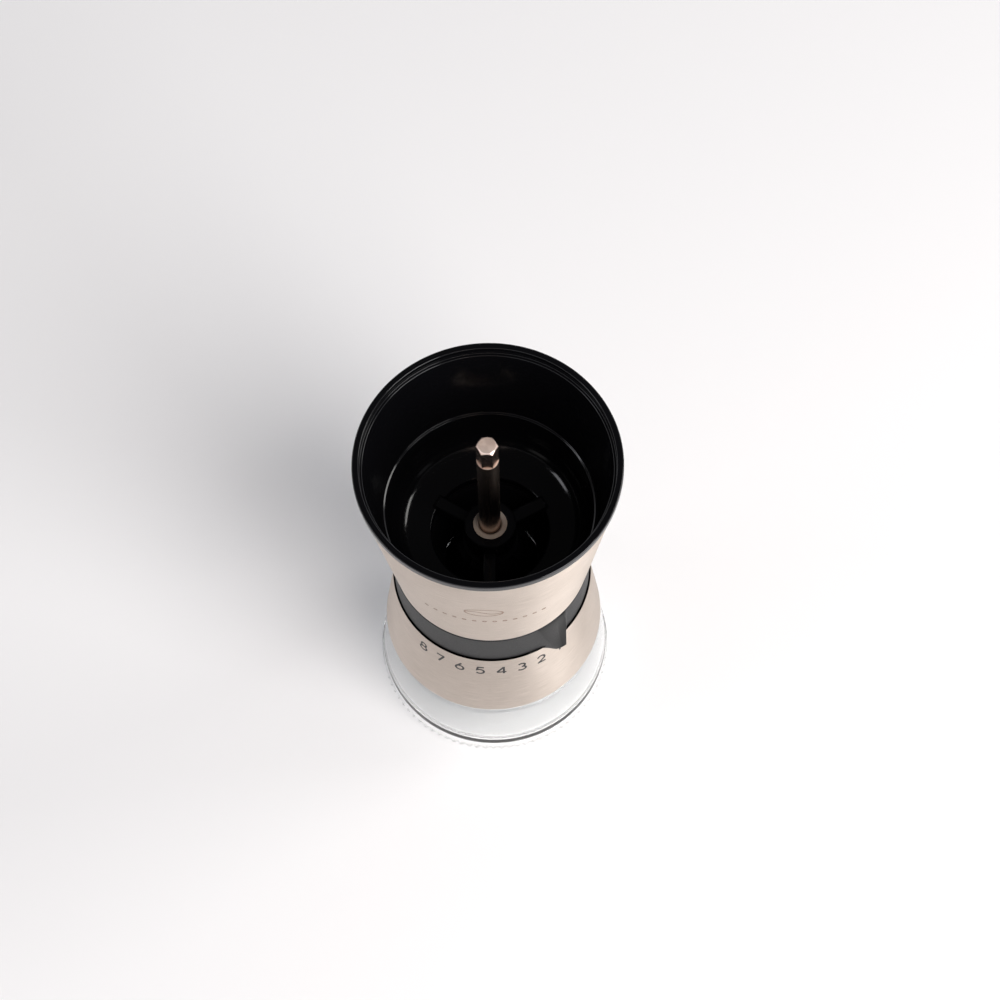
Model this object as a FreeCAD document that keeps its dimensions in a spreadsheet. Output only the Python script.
import FreeCAD, Part
import math
import os
import Sketcher

# Hand coffee grinder, millimetres, +Z up, table at Z = 0, the dial digits face -Y.
# Every driving size stands in the sheet; every sketch and feature is bound to it.

V = FreeCAD.Vector
doc = FreeCAD.newDocument("hand_grinder")

SIZES = [
    ("glass_height", 36.0, "table to lower edge of the lower shell"),
    ("lower_shell_height", 35.5, "lower steel shell"),
    ("waist_height", 18.0, "black waist between the two shells"),
    ("upper_shell_height", 63.7, "upper steel shell"),
    ("rim_height", 3.0, "hopper rim above the upper shell"),
    ("shaft_above_rim", 11.8, "shaft end above the rim"),
    ("rim_radius", 42.5, "hopper rim"),
    ("waist_radius", 33.3, "adjusting collar"),
    ("shell_foot_radius", 38.2, "lower edge of the lower shell"),
    ("base_radius", 41.5, "glass foot"),
    ("shell_thickness", 0.8, "steel sheet"),
    ("step", 0.6, "plastic edge that each shell butts against"),
    ("play", 0.2, "gap between parts that turn or slide past each other"),
    ("shaft_radius", 3.5, "drive shaft"),
    ("running_gap", 0.05, "radial gap of shaft in bush"),
    ("hex_across_flats", 6.0, "crank drive"),
    ("hex_length", 10.0, "crank drive"),
    ("hub_radius", 8.65, "bearing hub in the hopper"),
    ("bush_radius", 5.7, "upper bush"),
    ("hub_top_drop", 46.2, "rim top down to the hub top"),
    ("arm_width", 4.6, "spider arm"),
    ("throat_drop", 51.7, "rim top down to the throat edge"),
    ("ledge_drop", 33.2, "rim top down to the step in the hopper wall"),
    ("bowl_radius", 9.5, "curve between the hopper wall and its floor"),
    ("bowl_floor_width", 5.6, "flat ring of the hopper floor round the throat"),
    ("bowl_floor_rise", 1.0, "fall of that ring towards the throat"),
    ("bowl_wall_foot", 9.4, "height over the throat where the bowl wall starts to curve"),
    ("bowl_wall_lean", 0.9, "how far the bowl wall leans in on its way down"),
    ("core_wall", 3.6, "core tube wall"),
    ("carrier_wall", 3.0, "burr carrier wall"),
    ("pin_radius", 2.4, "cam pin"),
    ("burr_lift", 1.4, "rise of the outer burr from setting 1 to setting 8"),
    ("dial_travel", 84.0, "turn of the collar from setting 1 to setting 8, degrees"),
    ("groove_run_out", 6.5, "extra turn at each end of a cam groove, degrees"),
    ("thread_pitch", 4.0, "jar thread"),
    ("thread_turns", 1.25, "jar thread"),
    ("thread_depth", 1.1, "jar thread"),
    ("thread_gap", 0.4, "radial gap of jar thread"),
    ("glass_thickness", 3.2, "jar wall"),
    ("screw_radius", 1.1, "assembly screw"),
    ("journal_radius", 2.5, "lower end of the shaft"),
    ("nut_thread_radius", 3.0, "threaded part of the shaft"),
    ("drive_pin_radius", 1.5, "pin that turns the inner burr"),
    ("pointer_turn", -48.0, "pointer direction at setting 1, degrees from +X"),
]

sheet = doc.addObject("Spreadsheet::Sheet", "sizes")
row = 0
for name, value, note in SIZES:
    row = row + 1
    sheet.set("A%d" % row, name)
    sheet.set("B%d" % row, str(value))
    sheet.set("C%d" % row, note)
    sheet.setAlias("B%d" % row, name)
doc.recompute()


class Size:
    """A number together with the sheet formula that gives it."""

    def __init__(self, value, text):
        self.value = float(value)
        self.text = text

    def __add__(self, other):
        other = as_size(other)
        return Size(self.value + other.value, "(%s + %s)" % (self.text, other.text))

    def __radd__(self, other):
        return as_size(other) + self

    def __sub__(self, other):
        other = as_size(other)
        return Size(self.value - other.value, "(%s - %s)" % (self.text, other.text))

    def __rsub__(self, other):
        return as_size(other) - self

    def __mul__(self, other):
        other = as_size(other)
        return Size(self.value * other.value, "(%s * %s)" % (self.text, other.text))

    def __rmul__(self, other):
        return as_size(other) * self

    def __truediv__(self, other):
        other = as_size(other)
        return Size(self.value / other.value, "(%s / %s)" % (self.text, other.text))

    def __neg__(self):
        return Size(-self.value, "(0 - %s)" % self.text)


def as_size(number):
    if isinstance(number, Size):
        return number
    return Size(number, "(%s)" % repr(float(number)))


S = {}
for name, value, note in SIZES:
    S[name] = Size(value, "sizes." + name)

ZERO = as_size(0.0)

# ---------------------------------------------------------------- levels and radii

z_shoulder = S["glass_height"]
z_waist = z_shoulder + S["lower_shell_height"]
z_upper = z_waist + S["waist_height"]
z_rim_foot = z_upper + S["upper_shell_height"]
z_rim = z_rim_foot + S["rim_height"]
z_top = z_rim + S["shaft_above_rim"]
z_hub = z_rim - S["hub_top_drop"]
z_throat = z_rim - S["throat_drop"]
z_ledge = z_rim - S["ledge_drop"]
z_bridge = z_waist - 13.5
z_pin = z_waist + 8.5
z_neck = z_waist - 19.5
z_core_top = z_upper + 4.0

core_out = S["waist_radius"] - 5.5
core_in = core_out - S["core_wall"]
carrier_out = core_in - S["play"]
burr_out = carrier_out - S["carrier_wall"]
throat = burr_out - 1.6
collar_in = core_out + 0.3
neck_out = S["waist_radius"] - 2.8
neck_in = neck_out - 3.5
thread_bore = neck_out + S["thread_depth"] + S["thread_gap"]
screw_ring = core_in + S["core_wall"] / 2.0
flange_ring = core_out + 2.0
bore = S["shaft_radius"] + S["running_gap"]


def upper_shell_radius(level):
    """Outside radius of the upper shell at a level."""
    rise = S["rim_radius"] - 0.5 - S["waist_radius"]
    return S["waist_radius"] + (level - z_upper) / S["upper_shell_height"] * rise


def lower_shell_radius(level):
    """Outside radius of the lower shell at a level."""
    spread = S["shell_foot_radius"] - S["waist_radius"] - 0.2
    return S["shell_foot_radius"] - (level - z_shoulder) / S["lower_shell_height"] * spread


# ---------------------------------------------------------------- modelling helpers


def new_body(label):
    body = doc.addObject("PartDesign::Body", label)
    body.Label = label
    return body


def origin_part(body, role):
    for feature in body.Origin.OriginFeatures:
        if feature.Role == role:
            return feature
    raise ValueError("no origin feature " + role)


def new_sketch(body, name, plane, height=None):
    sketch = body.newObject("Sketcher::SketchObject", body.Name + "_" + name)
    sketch.AttachmentSupport = (origin_part(body, plane), [""])
    sketch.MapMode = "FlatFace"
    if height is not None:
        sketch.setExpression("AttachmentOffset.Base.z", height.text)
    return sketch


def fix_point(sketch, geometry, position, x, y):
    """Ties one point of the sketch to its two sizes."""
    x = as_size(x)
    y = as_size(y)
    if abs(x.value) < 1e-9:
        sketch.addConstraint(Sketcher.Constraint("PointOnObject", geometry, position, -2))
    else:
        rule = Sketcher.Constraint("DistanceX", -1, 1, geometry, position, x.value)
        index = sketch.addConstraint(rule)
        sketch.setExpression("Constraints[%d]" % index, x.text)
    if abs(y.value) < 1e-9:
        sketch.addConstraint(Sketcher.Constraint("PointOnObject", geometry, position, -1))
    else:
        rule = Sketcher.Constraint("DistanceY", -1, 1, geometry, position, y.value)
        index = sketch.addConstraint(rule)
        sketch.setExpression("Constraints[%d]" % index, y.text)


def outline(sketch, points, curve_at=None, curve_radius=None, bulge=1.0):
    """Closed outline through points; the side that starts at curve_at is an arc."""
    count = len(points)
    flat = []
    for x, y in points:
        flat.append(V(as_size(x).value, as_size(y).value, 0))
    ends = []
    for i in range(count):
        first = flat[i]
        second = flat[(i + 1) % count]
        if i == curve_at:
            chord = second - first
            half = chord.Length / 2.0
            radius = curve_radius.value
            sag = radius - math.sqrt(radius * radius - half * half)
            side = V(-chord.y, chord.x, 0).normalize() * (sag * bulge)
            arc = Part.Arc(first, (first + second) * 0.5 + side, second)
            index = sketch.addGeometry(arc, False)
            if (sketch.getPoint(index, 1) - first).Length < 1e-6:
                ends.append((index, 1, 2))
            else:
                ends.append((index, 2, 1))
        else:
            index = sketch.addGeometry(Part.LineSegment(first, second), False)
            ends.append((index, 1, 2))
    for i in range(count):
        here = ends[i]
        after = ends[(i + 1) % count]
        joint = Sketcher.Constraint("Coincident", here[0], here[2], after[0], after[1])
        sketch.addConstraint(joint)
    for i in range(count):
        fix_point(sketch, ends[i][0], ends[i][1], points[i][0], points[i][1])
    if curve_at is not None:
        index = sketch.addConstraint(
            Sketcher.Constraint("Radius", ends[curve_at][0], curve_radius.value)
        )
        sketch.setExpression("Constraints[%d]" % index, curve_radius.text)


def circle(sketch, x, y, radius):
    x = as_size(x)
    y = as_size(y)
    radius = as_size(radius)
    shape = Part.Circle(V(x.value, y.value, 0), V(0, 0, 1), radius.value)
    index = sketch.addGeometry(shape, False)
    fix_point(sketch, index, 3, x, y)
    rule = sketch.addConstraint(Sketcher.Constraint("Radius", index, radius.value))
    sketch.setExpression("Constraints[%d]" % rule, radius.text)


def rectangle(x0, y0, x1, y1):
    return [(x0, y0), (x1, y0), (x1, y1), (x0, y1)]


def volume(body):
    doc.recompute()
    return body.Shape.Volume


def lathe(body, name, points, angle=360.0, **curve):
    """Turned shape: the outline swept round the body's axis."""
    sketch = new_sketch(body, name + "_outline", "XZ_Plane")
    outline(sketch, points, **curve)
    feature = body.newObject("PartDesign::Revolution", body.Name + "_" + name)
    feature.Profile = sketch
    feature.ReferenceAxis = (sketch, ["V_Axis"])
    feature.Angle = angle
    body.Tip = feature
    doc.recompute()
    return feature


def lathe_cut(body, name, points):
    """Turned recess."""
    before = volume(body)
    sketch = new_sketch(body, name + "_outline", "XZ_Plane")
    outline(sketch, points)
    feature = body.newObject("PartDesign::Groove", body.Name + "_" + name)
    feature.Profile = sketch
    feature.ReferenceAxis = (sketch, ["V_Axis"])
    feature.Angle = 360.0
    body.Tip = feature
    if volume(body) >= before:
        raise ValueError(body.Label + ": " + name + " removes nothing")
    return feature


def pad(body, name, sketch, length):
    feature = body.newObject("PartDesign::Pad", body.Name + "_" + name)
    feature.Profile = sketch
    feature.setExpression("Length", as_size(length).text)
    body.Tip = feature
    doc.recompute()
    return feature


def pocket(body, name, sketch, length):
    """Cut of a given depth; it is turned round if it misses the body."""
    before = volume(body)
    feature = body.newObject("PartDesign::Pocket", body.Name + "_" + name)
    feature.Profile = sketch
    feature.setExpression("Length", as_size(length).text)
    feature.Reversed = True
    body.Tip = feature
    if volume(body) > before - 0.01:
        feature.Reversed = False
    if volume(body) > before - 0.01:
        raise ValueError(body.Label + ": " + name + " removes nothing")
    return feature


def repeat(body, name, feature, count):
    """The same feature several times round the body's axis."""
    pattern = body.newObject("PartDesign::PolarPattern", body.Name + "_" + name)
    pattern.Originals = [feature]
    pattern.Axis = (origin_part(body, "Z_Axis"), [""])
    pattern.Angle = 360.0
    pattern.Occurrences = count
    body.Tip = pattern
    doc.recompute()
    return pattern


def helix(body, name, kind, points, pitch, height, turn=0.0):
    """Screw-shaped ridge or groove with a right-hand lead."""
    sketch = new_sketch(body, name + "_section", "XZ_Plane")
    if turn:
        spin = FreeCAD.Rotation(V(0, 1, 0), turn)
        sketch.AttachmentOffset = FreeCAD.Placement(V(0, 0, 0), spin)
    outline(sketch, points)
    feature = body.newObject("PartDesign::" + kind, body.Name + "_" + name)
    feature.Profile = sketch
    feature.ReferenceAxis = (sketch, ["V_Axis"])
    feature.Mode = 0
    feature.setExpression("Pitch", as_size(pitch).text)
    feature.setExpression("Height", as_size(height).text)
    feature.Angle = 0.0
    body.Tip = feature
    doc.recompute()
    return feature


def holes(body, name, ring, radius, floor, depth, turn, count=3):
    """Round holes on a circle, parallel to the axis."""
    sketch = new_sketch(body, name + "_circle", "XY_Plane", floor)
    x = ring * math.cos(math.radians(turn))
    y = ring * math.sin(math.radians(turn))
    circle(sketch, x, y, radius)
    cut = pocket(body, name, sketch, depth)
    return repeat(body, name + "_round", cut, count)


def put(body, ring, turn, level):
    """Moves a body out to a circle and up to a level."""
    x = ring * math.cos(math.radians(turn))
    y = ring * math.sin(math.radians(turn))
    body.setExpression("Placement.Base.x", x.text)
    body.setExpression("Placement.Base.y", y.text)
    body.setExpression("Placement.Base.z", level.text)


# ---------------------------------------------------------------- hopper

hopper = new_body("hopper")
wall_top = upper_shell_radius(z_rim_foot) - S["shell_thickness"] - 0.4
wall_foot = upper_shell_radius(z_ledge - 3.5) - S["shell_thickness"] - 0.4
step_radius = upper_shell_radius(z_ledge) - S["shell_thickness"] - 2.5
bowl_wall = step_radius - 0.8 - S["bowl_wall_lean"]
bowl_back = upper_shell_radius(z_throat + S["bowl_wall_foot"]) - S["shell_thickness"] - 0.4
foot_in = core_in + 0.5
foot_out = core_out + 4.2
lathe(
    hopper,
    "wall",
    [
        (S["rim_radius"] - 2.2, z_rim),
        (S["rim_radius"] - 2.2, z_rim - 3.2),
        (S["rim_radius"] - 3.1, z_rim - 3.2),
        (step_radius, z_ledge),
        (step_radius - 0.8, z_ledge - 0.4),
        (bowl_wall, z_throat + S["bowl_wall_foot"]),
        (throat + S["bowl_floor_width"], z_throat + S["bowl_floor_rise"]),
        (throat, z_throat),
        (throat, z_throat - 3.0),
        (throat + 2.4, z_throat - 3.0),
        (foot_in, z_throat - 0.5),
        (foot_in, z_core_top),
        (foot_out, z_core_top),
        (foot_out, z_throat + 0.5),
        (bowl_back, z_throat + S["bowl_wall_foot"]),
        (wall_foot, z_ledge - 3.5),
        (wall_top, z_rim_foot),
        (S["rim_radius"] - 0.2, z_rim_foot),
        (S["rim_radius"], z_rim_foot + 0.3),
        (S["rim_radius"], z_rim - 0.6),
        (S["rim_radius"] - 0.6, z_rim),
    ],
    curve_at=5,
    curve_radius=S["bowl_radius"],
    bulge=-1.0,
)
arm_sketch = new_sketch(hopper, "arm_outline", "XY_Plane", z_throat - 3.0)
half_arm = S["arm_width"] / 2.0
outline(arm_sketch, rectangle(-half_arm, -(throat + 1.2), half_arm, -(S["bush_radius"] + 1.0)))
arm = pad(hopper, "arm", arm_sketch, 3.2)
repeat(hopper, "arms", arm, 3)
hub_low = z_throat - 3.6
lathe(
    hopper,
    "hub",
    [
        (S["bush_radius"] + 0.03, hub_low),
        (S["hub_radius"], hub_low),
        (S["hub_radius"], z_hub - 0.5),
        (S["hub_radius"] - 0.5, z_hub),
        (S["bush_radius"] + 0.03, z_hub),
    ],
)
holes(hopper, "screw_hole", flange_ring, S["screw_radius"] + 0.05, z_core_top, 8.0, 60.0)

upper_bush = new_body("upper_bush")
lathe(
    upper_bush,
    "turned",
    [
        (bore, hub_low - 0.8),
        (S["bush_radius"] + 1.4, hub_low - 0.8),
        (S["bush_radius"] + 1.4, hub_low),
        (S["bush_radius"], hub_low),
        (S["bush_radius"], z_hub),
        (bore + 0.4, z_hub),
        (bore, z_hub - 0.4),
    ],
)

# ---------------------------------------------------------------- steel shells

upper_shell = new_body("upper_shell")
lathe(
    upper_shell,
    "sheet",
    [
        (upper_shell_radius(z_upper), z_upper),
        (upper_shell_radius(z_rim_foot), z_rim_foot),
        (upper_shell_radius(z_rim_foot) - S["shell_thickness"], z_rim_foot),
        (upper_shell_radius(z_upper) - S["shell_thickness"], z_upper),
    ],
)

lower_shell = new_body("lower_shell")
lathe(
    lower_shell,
    "sheet",
    [
        (lower_shell_radius(z_shoulder), z_shoulder),
        (lower_shell_radius(z_waist), z_waist),
        (lower_shell_radius(z_waist) - S["shell_thickness"], z_waist),
        (lower_shell_radius(z_shoulder) - S["shell_thickness"], z_shoulder),
    ],
)

# ---------------------------------------------------------------- core tube

core_tube = new_body("core_tube")
flange_low = z_upper - S["step"]
lathe(
    core_tube,
    "tube",
    [
        (core_in, z_bridge),
        (core_out, z_bridge),
        (core_out, flange_low),
        (S["waist_radius"] - 0.2, flange_low),
        (S["waist_radius"] - 0.2, z_upper),
        (S["waist_radius"] - S["shell_thickness"] - 0.3, z_upper),
        (S["waist_radius"] - S["shell_thickness"] - 0.3, z_core_top),
        (core_in, z_core_top),
    ],
)
ring_level = z_upper - 3.0
lathe_cut(
    core_tube,
    "ring_groove",
    rectangle(core_out - 1.45, ring_level - 0.9, core_out + 1.0, ring_level + 0.9),
)
slot = new_sketch(core_tube, "slot_outline", "YZ_Plane")
half_slot = S["pin_radius"] + 0.1
slot_low = z_pin - S["pin_radius"] - S["play"]
slot_high = z_pin + S["burr_lift"] + S["pin_radius"] + S["play"]
outline(slot, rectangle(-half_slot, slot_low, half_slot, slot_high))
slot_cut = pocket(core_tube, "slot", slot, S["waist_radius"])
repeat(core_tube, "slots", slot_cut, 3)
holes(core_tube, "bridge_hole", screw_ring, S["screw_radius"] + 0.05, z_bridge, 8.5, 60.0)
holes(core_tube, "flange_hole", flange_ring, S["screw_radius"] + 0.05, flange_low, 8.0, 60.0)
holes(core_tube, "head_recess", flange_ring, S["screw_radius"] + 1.1, flange_low, 2.0, 60.0)

friction_ring = new_body("collar_friction_ring")
ring_sketch = new_sketch(friction_ring, "section", "XZ_Plane")
circle(ring_sketch, core_out - 0.55, ring_level, 0.8)
ring_turned = friction_ring.newObject("PartDesign::Revolution", "friction_ring_turned")
ring_turned.Profile = ring_sketch
ring_turned.ReferenceAxis = (ring_sketch, ["V_Axis"])
ring_turned.Angle = 360.0
doc.recompute()

# ---------------------------------------------------------------- jar collar and bridge

jar_collar = new_body("jar_collar")
collar_foot = z_shoulder + 0.6
bed = S["shell_thickness"] + 0.1
lathe(
    jar_collar,
    "moulding",
    [
        (core_out + 0.1, z_bridge),
        (core_out + 0.1, z_waist + S["step"]),
        (S["waist_radius"] - 0.1, z_waist + S["step"]),
        (S["waist_radius"] - 0.1, z_waist),
        (lower_shell_radius(z_waist) - bed, z_waist),
        (lower_shell_radius(collar_foot) - bed, collar_foot),
        (thread_bore, collar_foot),
        (thread_bore, z_bridge),
    ],
)


def thread_section(root, crest, level):
    """Trapezoid ridge from root radius to crest radius, centred on a level."""
    return [
        (root, level - 0.85),
        (root, level + 0.85),
        (crest, level + 0.45),
        (crest, level - 0.45),
    ]


thread_rise = S["thread_pitch"] * S["thread_turns"]
thread_start = z_shoulder + 5.0
helix(
    jar_collar,
    "thread",
    "AdditiveHelix",
    thread_section(thread_bore + 0.3, thread_bore - S["thread_depth"], thread_start),
    S["thread_pitch"],
    thread_rise,
)

bridge = new_body("lower_bridge")
bridge_low = z_bridge - 3.0
lathe(
    bridge,
    "ring",
    rectangle(core_in + 0.1, bridge_low, thread_bore - 0.3, z_bridge),
)
bridge_arm = new_sketch(bridge, "arm_outline", "XY_Plane", bridge_low)
outline(bridge_arm, rectangle(S["journal_radius"] + 2.5, -2.0, core_in + 1.0, 2.0))
repeat(bridge, "arms", pad(bridge, "arm", bridge_arm, 3.0), 3)
bush_low = bridge_low - 2.5
bush_high = z_bridge + 2.0
lathe(
    bridge,
    "hub",
    rectangle(S["journal_radius"] + 1.93, bush_low, S["journal_radius"] + 4.0, bush_high),
)
holes(bridge, "screw_hole", screw_ring, S["screw_radius"] + 0.05, bridge_low, 3.0, 60.0)

lower_bush = new_body("lower_bush")
journal_bore = S["journal_radius"] + S["running_gap"]
lathe(
    lower_bush,
    "turned",
    [
        (journal_bore, bush_low),
        (S["journal_radius"] + 1.9, bush_low),
        (S["journal_radius"] + 1.9, bush_high),
        (S["journal_radius"] + 3.5, bush_high),
        (S["journal_radius"] + 3.5, bush_high + 1.1),
        (journal_bore, bush_high + 1.1),
    ],
)

# ---------------------------------------------------------------- screws


def socket_screw(label, ring, turn, level, length):
    """Socket-head screw standing head down at a level."""
    screw = new_body(label)
    head = 1.6
    lathe(
        screw,
        "turned",
        [
            (0.0, 0.0),
            (S["screw_radius"] + 0.9, 0.0),
            (S["screw_radius"] + 0.9, head),
            (S["screw_radius"], head),
            (S["screw_radius"], head + length),
            (0.0, head + length),
        ],
    )
    socket = new_sketch(screw, "socket_outline", "XY_Plane")
    corners = []
    for i in range(6):
        corner = math.radians(60.0 * i + 30.0)
        corners.append((as_size(1.0 * math.cos(corner)), as_size(1.0 * math.sin(corner))))
    outline(socket, corners)
    pocket(screw, "socket", socket, 1.0)
    put(screw, ring, turn, level)
    return screw


screws = []
for i in range(3):
    around = 60.0 + 120.0 * i
    head_level = flange_low + 2.0 - 1.6
    screws.append(
        socket_screw("hopper_screw_%d" % (i + 1), flange_ring, around, head_level, 9.0)
    )
for i in range(3):
    around = 60.0 + 120.0 * i
    screws.append(
        socket_screw("bridge_screw_%d" % (i + 1), screw_ring, around, bridge_low - 1.6, 11.0)
    )

# ---------------------------------------------------------------- adjusting collar

collar = new_body("adjusting_collar")
collar_low = z_waist + S["step"] + S["play"]
collar_high = z_upper - S["step"] - S["play"]
lathe(
    collar,
    "ring",
    [
        (collar_in, collar_low),
        (S["waist_radius"] - 0.4, collar_low),
        (S["waist_radius"], collar_low + 0.4),
        (S["waist_radius"], collar_high - 0.4),
        (S["waist_radius"] - 0.4, collar_high),
        (collar_in, collar_high),
    ],
)


def section(body, name, level, near, far, near_half, far_half):
    """One level of the pointer: a four-sided outline pointing away from the axis."""
    sketch = new_sketch(body, name, "XY_Plane", level)
    outline(
        sketch,
        [(near, -near_half), (far, -far_half), (far, far_half), (near, near_half)],
    )
    spin = FreeCAD.Rotation(V(0, 0, 1), S["pointer_turn"].value)
    sketch.AttachmentOffset = FreeCAD.Placement(V(0, 0, level.value), spin)
    sketch.setExpression("AttachmentOffset.Base.z", level.text)
    sketch.setExpression("AttachmentOffset.Rotation.Angle", S["pointer_turn"].text)
    return sketch


waist = S["waist_radius"]
near = collar_in + 1.5
levels = [
    section(collar, "tip", z_waist - 5.8, near, waist + 3.2, as_size(0.8), as_size(0.6)),
    section(collar, "nose", z_waist - 2.6, near, waist + 4.0, as_size(2.6), as_size(1.1)),
    section(collar, "cheek", z_waist + 1.2, near, waist + 3.9, as_size(6.0), as_size(1.9)),
    section(collar, "thumb", z_waist + 7.5, near, waist + 2.7, as_size(7.0), as_size(3.0)),
    section(collar, "root", collar_high - 0.3, near, waist - 0.2, as_size(8.2), as_size(5.6)),
]
pointer = collar.newObject("PartDesign::AdditiveLoft", "pointer")
pointer.Profile = levels[0]
pointer.Sections = levels[1:]
pointer.Ruled = True
collar.Tip = pointer
doc.recompute()
clear = 0.55
lathe_cut(
    collar,
    "pointer_relief",
    [
        (collar_in - 2.0, z_waist - 9.0),
        (lower_shell_radius(z_waist - 9.0) + clear, z_waist - 9.0),
        (lower_shell_radius(z_waist) + clear, z_waist),
        (lower_shell_radius(z_waist) + clear, collar_low),
        (collar_in - 2.0, collar_low),
    ],
)
cam_pitch = S["burr_lift"] / S["dial_travel"] * 360.0
run_out_rise = cam_pitch * S["groove_run_out"] / 360.0
groove_low = z_pin - run_out_rise - S["pin_radius"] - 0.1
groove_high = z_pin - run_out_rise + S["pin_radius"] + 0.1
cam_rise = S["burr_lift"] + run_out_rise * 2.0
cam = helix(
    collar,
    "cam_groove",
    "SubtractiveHelix",
    rectangle(collar_in - 0.4, groove_low, collar_in + 2.7, groove_high),
    cam_pitch,
    cam_rise,
    turn=-S["groove_run_out"].value,
)
repeat(collar, "cam_grooves", cam, 3)

# ---------------------------------------------------------------- burr carrier

carrier = new_body("burr_carrier")
burr_low = z_waist - 2.5
burr_high = z_upper + 7.0
lathe(
    carrier,
    "cup",
    [
        (burr_out + 0.05, burr_high + 1.0),
        (burr_out + 0.05, burr_low),
        (burr_out - 1.5, burr_low),
        (burr_out - 1.5, burr_low - 2.0),
        (carrier_out - 0.5, burr_low - 2.0),
        (carrier_out, burr_low - 1.5),
        (carrier_out, burr_high + 1.0),
    ],
)
pin_hole = new_sketch(carrier, "pin_hole_circle", "YZ_Plane")
circle(pin_hole, 0.0, z_pin, S["pin_radius"] + 0.02)
repeat(carrier, "pin_holes", pocket(carrier, "pin_hole", pin_hole, S["waist_radius"]), 3)

cam_pins = []
for i in range(3):
    pin = new_body("cam_pin_%d" % (i + 1))
    length = collar_in + 2.4 - (burr_out + 0.1)
    lathe(
        pin,
        "turned",
        [
            (0.0, 0.0),
            (S["pin_radius"], 0.0),
            (S["pin_radius"], length - 0.3),
            (S["pin_radius"] - 0.3, length),
            (0.0, length),
        ],
    )
    pin.Placement = FreeCAD.Placement(V(0, 0, 0), FreeCAD.Rotation(120.0 * i, 90.0, 0.0))
    put(pin, burr_out + 0.1, 120.0 * i, z_pin)
    cam_pins.append(pin)

# ---------------------------------------------------------------- burrs

cone_low = z_waist - 1.5
cone_high = z_waist + 24.5
cone_wide = burr_out - 2.8
cone_slope = 0.27
outer_burr = new_body("outer_burr")


def cone_radius(level):
    """Radius of the inner burr's crushing cone at a level."""
    return cone_wide - (level - cone_low) * cone_slope


mid = z_waist + 12.0
lathe(
    outer_burr,
    "ring",
    [
        (cone_wide + 0.5, burr_low),
        (burr_out, burr_low),
        (burr_out, burr_high),
        (throat + 0.3, burr_high),
        (cone_radius(mid) + 1.0, mid),
        (cone_radius(z_waist + 3.0) + 0.45, z_waist + 3.0),
        (cone_wide + 0.5, cone_low - 0.2),
    ],
)
tooth = new_sketch(outer_burr, "tooth_outline", "YZ_Plane")
outline(tooth, rectangle(-0.9, mid, 0.9, burr_high + 1.0))
tooth_cut = pocket(outer_burr, "tooth", tooth, cone_radius(mid) + 2.6)
repeat(outer_burr, "teeth", tooth_cut, 12)

inner_burr = new_body("inner_burr")
burr_bore = S["shaft_radius"] + 0.03
lathe(
    inner_burr,
    "cone",
    [
        (burr_bore, z_waist - 3.5),
        (cone_wide, z_waist - 3.5),
        (cone_wide, cone_low),
        (cone_radius(cone_high), cone_high),
        (cone_radius(cone_high) - 2.0, cone_high + 2.0),
        (burr_bore, cone_high + 2.0),
    ],
)
flute = new_sketch(inner_burr, "flute_outline", "XZ_Plane")
flute_low = z_waist + 6.0
outline(
    flute,
    [
        (cone_radius(flute_low) + 0.2, flute_low),
        (cone_radius(flute_low) + 3.0, flute_low),
        (cone_radius(cone_high) + 6.0, cone_high + 3.0),
        (cone_radius(cone_high) - 2.2, cone_high + 3.0),
    ],
)
before = volume(inner_burr)
flute_cut = inner_burr.newObject("PartDesign::Pocket", "inner_burr_flute")
flute_cut.Profile = flute
flute_cut.Length = 2.4
flute_cut.Midplane = True
inner_burr.Tip = flute_cut
if volume(inner_burr) > before - 0.01:
    raise ValueError("inner burr flute removes nothing")
repeat(inner_burr, "flutes", flute_cut, 8)
pin_level = z_waist + 23.5
pin_slot = new_sketch(inner_burr, "pin_slot_outline", "XY_Plane", pin_level - 1.5)
half_pin = S["drive_pin_radius"] + 0.05
outline(pin_slot, rectangle(-7.0, -half_pin, 7.0, half_pin))
pocket(inner_burr, "pin_slot", pin_slot, 10.0)

# ---------------------------------------------------------------- spindle

shaft = new_body("drive_shaft")
nut_low = bush_high + 2.2
clip_high = bush_low - 0.3
clip_low = clip_high - 0.8
shaft_low = clip_low - 1.4
shoulder = z_waist - 2.5
journal = S["journal_radius"]
lathe(
    shaft,
    "turned",
    [
        (0.0, shaft_low),
        (journal - 0.3, shaft_low),
        (journal, shaft_low + 0.3),
        (journal, clip_low),
        (journal - 0.4, clip_low),
        (journal - 0.4, clip_high),
        (journal, clip_high),
        (journal, nut_low),
        (S["nut_thread_radius"], nut_low),
        (S["nut_thread_radius"], shoulder),
        (S["shaft_radius"], shoulder),
        (S["shaft_radius"], z_top - 0.9),
        (S["shaft_radius"] - 0.75, z_top),
        (0.0, z_top),
    ],
)
flat = new_sketch(shaft, "flat_outline", "XY_Plane", z_top - S["hex_length"])
half_flats = S["hex_across_flats"] / 2.0
outline(flat, rectangle(-4.5, -(half_flats + 2.0), 4.5, -half_flats))
repeat(shaft, "hexagon", pocket(shaft, "flat", flat, S["hex_length"] + 1.0), 6)
cross_hole = new_sketch(shaft, "cross_hole_circle", "YZ_Plane")
circle(cross_hole, 0.0, pin_level, S["drive_pin_radius"] + 0.02)
cross = shaft.newObject("PartDesign::Pocket", "shaft_cross_hole")
cross.Profile = cross_hole
cross.Length = 20.0
cross.Midplane = True
shaft.Tip = cross
doc.recompute()

drive_pin = new_body("drive_pin")
lathe(
    drive_pin,
    "turned",
    rectangle(0.0, -6.8, S["drive_pin_radius"], 6.8),
)
drive_pin.Placement = FreeCAD.Placement(V(0, 0, 0), FreeCAD.Rotation(0.0, 90.0, 0.0))
put(drive_pin, ZERO, 0.0, pin_level)

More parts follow.
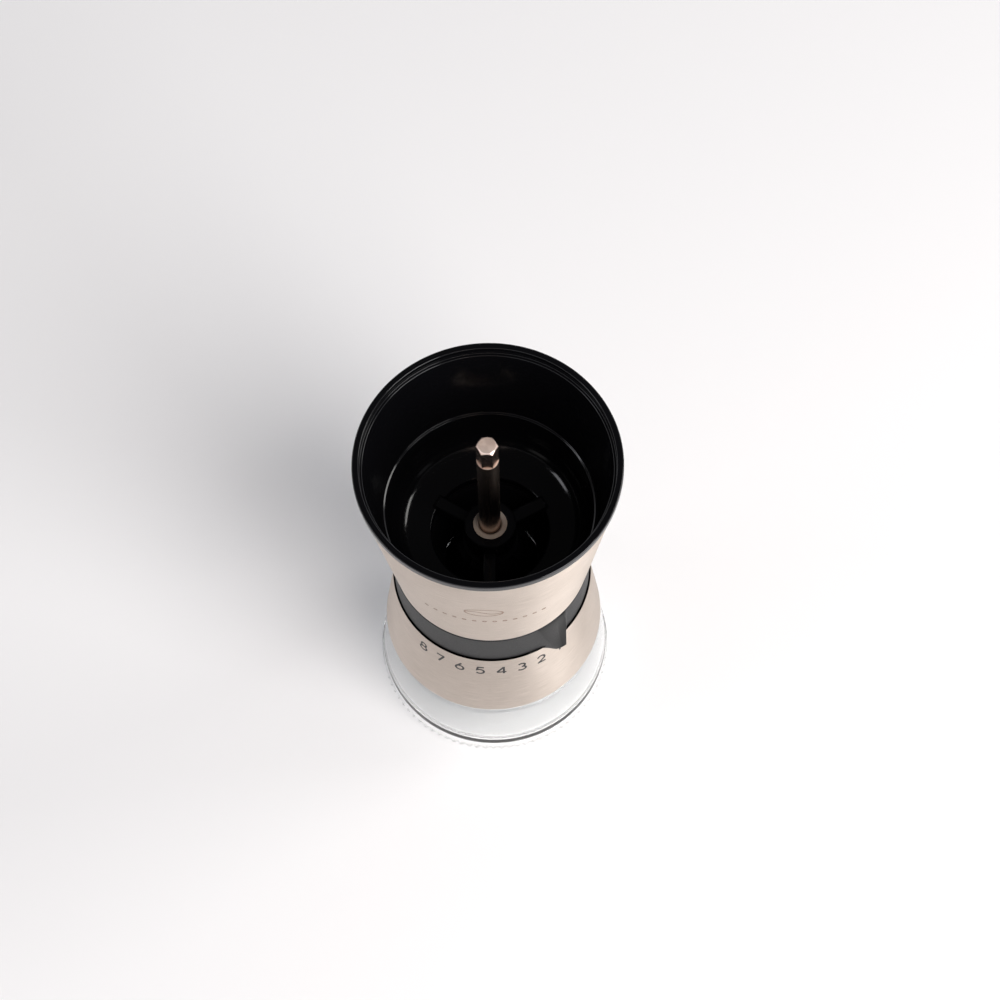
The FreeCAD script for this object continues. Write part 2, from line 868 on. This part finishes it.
burr_washer = new_body("burr_washer")
lathe(burr_washer, "disc", rectangle(S["nut_thread_radius"] + 0.1, z_waist - 4.7, 7.0, z_waist - 3.5))

burr_nut = new_body("burr_nut")
nut_sketch = new_sketch(burr_nut, "hexagon", "XY_Plane", nut_low)
nut_corners = []
nut_reach = 10.0 / math.sqrt(3.0)
for i in range(6):
    corner = math.radians(60.0 * i)
    nut_corners.append((as_size(nut_reach * math.cos(corner)), as_size(nut_reach * math.sin(corner))))
outline(nut_sketch, nut_corners)
pad(burr_nut, "block", nut_sketch, z_waist - 4.7 - nut_low)
nut_bore = new_sketch(burr_nut, "bore_circle", "XY_Plane", nut_low)
circle(nut_bore, 0.0, 0.0, S["nut_thread_radius"] + 0.02)
pocket(burr_nut, "bore", nut_bore, 20.0)

thrust_washer = new_body("thrust_washer")
lathe(
    thrust_washer,
    "disc",
    rectangle(journal + 0.1, bush_high + 1.15, journal + 3.6, nut_low),
)

clip = new_body("retaining_clip")
lathe(
    clip,
    "ring",
    rectangle(journal - 0.37, clip_low + 0.05, journal + 1.8, clip_high - 0.05),
    angle=290.0,
)

# ---------------------------------------------------------------- jar and seal

seal = new_body("jar_seal")
lathe(seal, "ring", rectangle(neck_in + 1.6, z_neck, neck_out + 0.7, bridge_low))

jar = new_body("glass_jar")
foot = S["base_radius"]
glass = S["glass_thickness"]
jar_shoulder = z_shoulder - 0.3
side = S["shell_foot_radius"]
lathe(
    jar,
    "blown",
    [
        (0.0, 1.0),
        (foot - 9.0, 1.0),
        (foot - 7.0, 0.0),
        (foot - 3.0, 0.0),
        (foot - 0.9, 0.9),
        (foot, 2.8),
        (foot, 7.5),
        (foot - 0.4, 8.5),
        (side + 0.6, jar_shoulder - 7.0),
        (side - 0.2, jar_shoulder - 1.6),
        (side - 1.8, jar_shoulder),
        (neck_out, jar_shoulder),
        (neck_out, z_neck - 0.6),
        (neck_out - 0.6, z_neck),
        (neck_in + 0.6, z_neck),
        (neck_in, z_neck - 0.6),
        (neck_in, jar_shoulder - 1.0),
        (side - glass - 0.6, jar_shoulder - 6.5),
        (foot - glass - 0.6, 11.0),
        (foot - glass - 4.0, 6.5),
        (0.0, 6.0),
    ],
)
helix(
    jar,
    "thread",
    "AdditiveHelix",
    thread_section(neck_out - 0.3, neck_out + S["thread_depth"], thread_start + S["thread_pitch"] / 2.0),
    S["thread_pitch"],
    thread_rise,
)

# ---------------------------------------------------------------- check and export

nodes = [
    hopper,
    upper_bush,
    upper_shell,
    lower_shell,
    core_tube,
    friction_ring,
    jar_collar,
    bridge,
    lower_bush,
    collar,
    carrier,
    outer_burr,
    inner_burr,
    shaft,
    drive_pin,
    burr_washer,
    burr_nut,
    thrust_washer,
    clip,
    seal,
    jar,
]
nodes.extend(screws)
nodes.extend(cam_pins)

doc.recompute()
problems = []
for thing in doc.Objects:
    if "Invalid" in thing.State or "Error" in thing.State:
        problems.append(thing.Name + " " + str(thing.State))
for node in nodes:
    if node.Shape.isNull() or not node.Shape.isValid():
        problems.append(node.Label + " has no valid shape")
    elif len(node.Shape.Solids) != 1:
        problems.append(node.Label + " has %d solids" % len(node.Shape.Solids))
if problems:
    raise ValueError("; ".join(problems))

os.makedirs("parts", exist_ok=True)
for node in nodes:
    node.Shape.exportStep(os.path.join("parts", node.Label + ".step"))
    print(node.Label, round(node.Shape.Volume, 1))
print(len(nodes), "nodes written")
